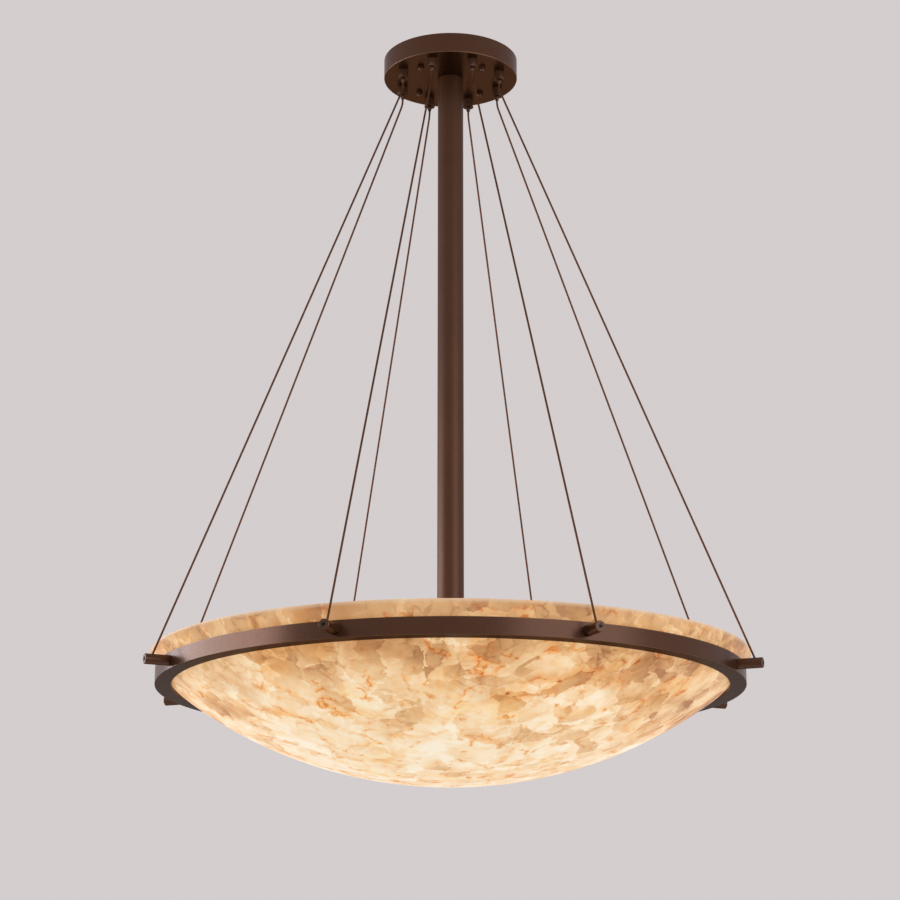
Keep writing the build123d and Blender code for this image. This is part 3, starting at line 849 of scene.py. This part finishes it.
# each bulb is turned about its own Z, which runs out along the lamp's axis
bulb = {
    "count": 6,
    "firstAngle": 30.0,
    "axisRadius": 0.03254,
    "axisHeight": -1.026,
    "tilt": 20.0,                    # degrees below level
    "around": 48,
    "contactStart": 0.0122,
    "contactTip": 0.0030,            # radius of its flat end
    "contactRadius": 0.0050,
    "contactRound": (0.0002, 0.0006, 0.0016),    # inwards, and up to both ends of the rounding
    "contactFoot": 0.0092,           # radius at the cap
    "contactAround": 24,
    "capStart": 0.0149,
    "capEnd": 0.0409,
    "capRadius": 0.013,
    "threadDepth": 0.0008,
    "threadFade": 0.003,             # length over which it runs out
    "pitch": 0.0036,
    "neckEnd": 0.0459,
    "neckRadius": 0.0135,
    "collarLip": (0.0009, 0.0012),   # inwards and downwards, hidden in the cap
    "collarFoot": (0.0002, 0.0008),  # roundings, inwards and along
    "collarTop": (0.0004, 0.0006),
    "globeCentre": 0.0919,
    "globeRadius": 0.030,
    "crownGap": 0.04,                # radians left to the flat at the crown
}
# glass that glows brighter towards the crown, with its outline painted a deeper amber than its middle:
# painted shade that makes the globe look round
opal = {
    "ramp": [(0.0, (0.80, 0.62, 0.40)), (0.35, (1.0, 0.86, 0.64)), (1.0, (1.0, 0.93, 0.80))],
    "outline": (0.84, 0.60, 0.34, 1.0),
    "outlineReach": (0.15, 0.95),
    "frost": {"Dark": (0.40, 0.37, 0.32, 1.0), "Light": (0.46, 0.44, 0.40, 1.0),
              "Scale": 70.0, "Contrast": 0.6},
    "skin": {"Scale": 900.0, "Roughness": 0.3, "Variation": 0.06},
    "glow": 0.74,
}


def opalGlass(look, size):
    material, tree, shader = newMaterial("opal_glass")
    along = axes(tree, objectPlace(tree))["Z"]
    crown = size["globeCentre"] + size["globeRadius"]
    tone = ramp(tree, remap(tree, along, size["neckEnd"], crown), look["ramp"])
    # painted shade: deeper amber where the globe turns away from the eye
    facing = addNode(tree, "LayerWeight", {"Blend": 0.5}).outputs["Facing"]
    tone = mixColor(tree, remap(tree, facing, *look["outlineReach"]), tone, look["outline"])
    frost = useGroup(tree, mottle, **look["frost"])
    plug(tree, frost["Color"], shader.inputs["Base Color"])
    plug(tree, tone, shader.inputs["Emission Color"])
    shader.inputs["Emission Strength"].default_value = look["glow"]
    skin = useGroup(tree, grain, **look["skin"])
    plug(tree, skin["Roughness"], shader.inputs["Roughness"])
    return material


def lathe(name, profile, around, wobble=None):
    # turns (radius, height) pairs about Z; wobble moves a point's radius by its turn and height
    points = []
    for radius, height in profile:
        for step in range(around):
            angle = 2 * pi * step / around
            reach = radius + (wobble(angle, height) if wobble else 0.0)
            points.append(turned(reach, height, angle))
    return meshFrom(name, points, skinned(len(profile), around))


def globeProfile(size, neckSteps=7, globeSteps=22):
    # the neck's hollow curve runs into the globe without a break
    reach = size["globeCentre"] - size["neckEnd"]
    swell = size["globeRadius"] - size["neckRadius"]
    hollow = (size["neckRadius"]**2 + reach**2 - size["globeRadius"]**2) / (2 * swell)
    span = atan2(reach, size["neckRadius"] + hollow)
    neck = [(size["neckRadius"] + hollow * (1 - cos(span * step / neckSteps)),
             size["neckEnd"] + hollow * sin(span * step / neckSteps)) for step in range(neckSteps)]
    last = pi / 2 - size["crownGap"]
    globe = [(size["globeRadius"] * cos(turn), size["globeCentre"] + size["globeRadius"] * sin(turn))
             for turn in (-span + (last + span) * step / globeSteps for step in range(globeSteps + 1))]
    return neck + globe


def collarProfile(size):
    outer, low, high = size["neckRadius"], size["capEnd"], size["neckEnd"]
    lip, foot, top = size["collarLip"], size["collarFoot"], size["collarTop"]
    return [(outer - lip[0], low - lip[1]), (outer - foot[0], low), (outer, low + foot[1]),
            (outer, high - top[1]), (outer - top[0], high)]


def capProfile(size, rings=44):
    start, end = size["capStart"], size["capEnd"]
    return [(size["capRadius"] - size["threadDepth"], start + (end - start) * ring / rings)
            for ring in range(rings + 1)]


def contactProfile(size):
    start, outer = size["contactStart"], size["contactRadius"]
    inwards, first, last = size["contactRound"]
    return [(size["contactTip"], start), (outer - inwards, start + first), (outer, start + last),
            (size["contactFoot"], size["capStart"])]


def threadWobble(size):
    def wobble(angle, height):
        fromEnd = min(height - size["capStart"], size["capEnd"] - height)
        fade = min(1.0, max(fromEnd / size["threadFade"], 0.0))
        wave = 0.5 + 0.5 * cos(2 * pi * height / size["pitch"] - angle)
        return size["threadDepth"] * wave * fade
    return wobble


bulbGlass = opalGlass(opal, bulb)
for number, angle in enumerate(angles(bulb), start=1):
    spot = Matrix.Translation(turned(bulb["axisRadius"], bulb["axisHeight"], angle))
    lean = Matrix.Rotation(angle, 4, "Z") @ Matrix.Rotation(radians(90 + bulb["tilt"]), 4, "Y")
    body = f"lamp_bulb_{number}"
    globe = lathe("bulb_globe", globeProfile(bulb), bulb["around"])
    addPiece(f"bulb_globe_{number}", globe, bulbGlass, body, [body], spot @ lean)
    rest = {
        "bulb_collar": (lathe("bulb_collar", collarProfile(bulb), bulb["around"]), "pale_plastic"),
        "bulb_cap": (lathe("bulb_cap", capProfile(bulb), bulb["around"], threadWobble(bulb)), "zinc_steel"),
        "bulb_contact": (lathe("bulb_contact", contactProfile(bulb), bulb["contactAround"]), "brass_thread"),
    }
    for kind, (mesh, finish) in rest.items():
        addPiece(f"{kind}_{number}", mesh, materials[finish], body, place=spot @ lean)
print("bulbs made:", bulb["count"])


# Floor, world and lamps

studio = {
    "floor": -6.0,
    "floorSize": 80.0,
    "floorTone": {"Dark": (0.6402, 0.6208, 0.6208, 1.0), "Light": (0.66, 0.64, 0.64, 1.0),
                  "Scale": 1.2, "Contrast": 0.6},
    "floorShader": {"Roughness": 0.9, "Specular IOR Level": 0.1},
    "floorLift": (0.335, 0.305, 0.315, 1.0),
    "background": (0.66, 0.615, 0.62, 1.0),
    "skyColor": (1.0, 0.985, 0.97, 1.0),
    "skyLevel": 0.48,
    "lamps": [
        {"name": "left_softbox", "place": (-2.48, 0.30, -0.58), "aim": (0.0, 0.0, -1.0), "size": (3.2, 0.75),
         "power": 41.0},
        {"name": "right_softbox", "place": (1.62, -1.81, -0.75), "aim": (0.0, 0.0, -0.8), "size": (2.0, 1.9),
         "power": 22.0},
    ],
}


def seenByEye(tree):
    # straight to the camera, or by way of metal or glass
    rays = addNode(tree, "LightPath").outputs
    return calc(tree, "MAXIMUM", rays["Is Camera Ray"],
                calc(tree, "MAXIMUM", rays["Is Glossy Ray"], rays["Is Transmission Ray"]))


def makeFloor(settings):
    half, height = settings["floorSize"] / 2, settings["floor"]
    corners = [(-half, -half, height), (half, -half, height), (half, half, height), (-half, half, height)]
    mesh = meshFrom("floor", corners, [(0, 1, 2, 3)])
    material, tree, shader = newMaterial("floor_paint", **settings["floorShader"])
    tone = useGroup(tree, mottle, **settings["floorTone"])
    plug(tree, tone["Color"], shader.inputs["Base Color"])
    # as pale as the background to the eye, with no more light on the lamp
    lift = mixColor(tree, seenByEye(tree), (0.0, 0.0, 0.0, 1.0), settings["floorLift"])
    plug(tree, lift, shader.inputs["Emission Color"])
    shader.inputs["Emission Strength"].default_value = 1.0
    mesh.materials.append(material)
    floor = bpy.data.objects.new("floor", mesh)
    scene.collection.objects.link(floor)


def makeWorld(settings):
    world = bpy.data.worlds.new("studio")
    scene.world = world
    world.use_nodes = True
    tree = world.node_tree
    tree.nodes.clear()
    sky = addNode(tree, "Background", {"Color": settings["skyColor"], "Strength": settings["skyLevel"]})
    backdrop = addNode(tree, "Background", {"Color": settings["background"], "Strength": 1.0})
    mix = addNode(tree, "MixShader")
    plug(tree, seenByEye(tree), mix.inputs[0])
    plug(tree, sky.outputs[0], mix.inputs[1])
    plug(tree, backdrop.outputs[0], mix.inputs[2])
    addNode(tree, "OutputWorld", {"Surface": mix.outputs[0]})


def makeLamp(settings):
    data = bpy.data.lights.new(settings["name"], "AREA")
    data.shape = "RECTANGLE"
    data.size, data.size_y = settings["size"]
    data.energy = settings["power"]
    lamp = bpy.data.objects.new(settings["name"], data)
    place = Vector(settings["place"])
    lamp.location = place
    lamp.rotation_euler = (place - Vector(settings["aim"])).to_track_quat("Z", "Y").to_euler()
    lamp.visible_camera = False
    scene.collection.objects.link(lamp)


makeFloor(studio)
makeWorld(studio)
for lamp in studio["lamps"]:
    makeLamp(lamp)
scene.view_settings.view_transform = "Standard"
print("studio set with", len(studio["lamps"]), "lamps")
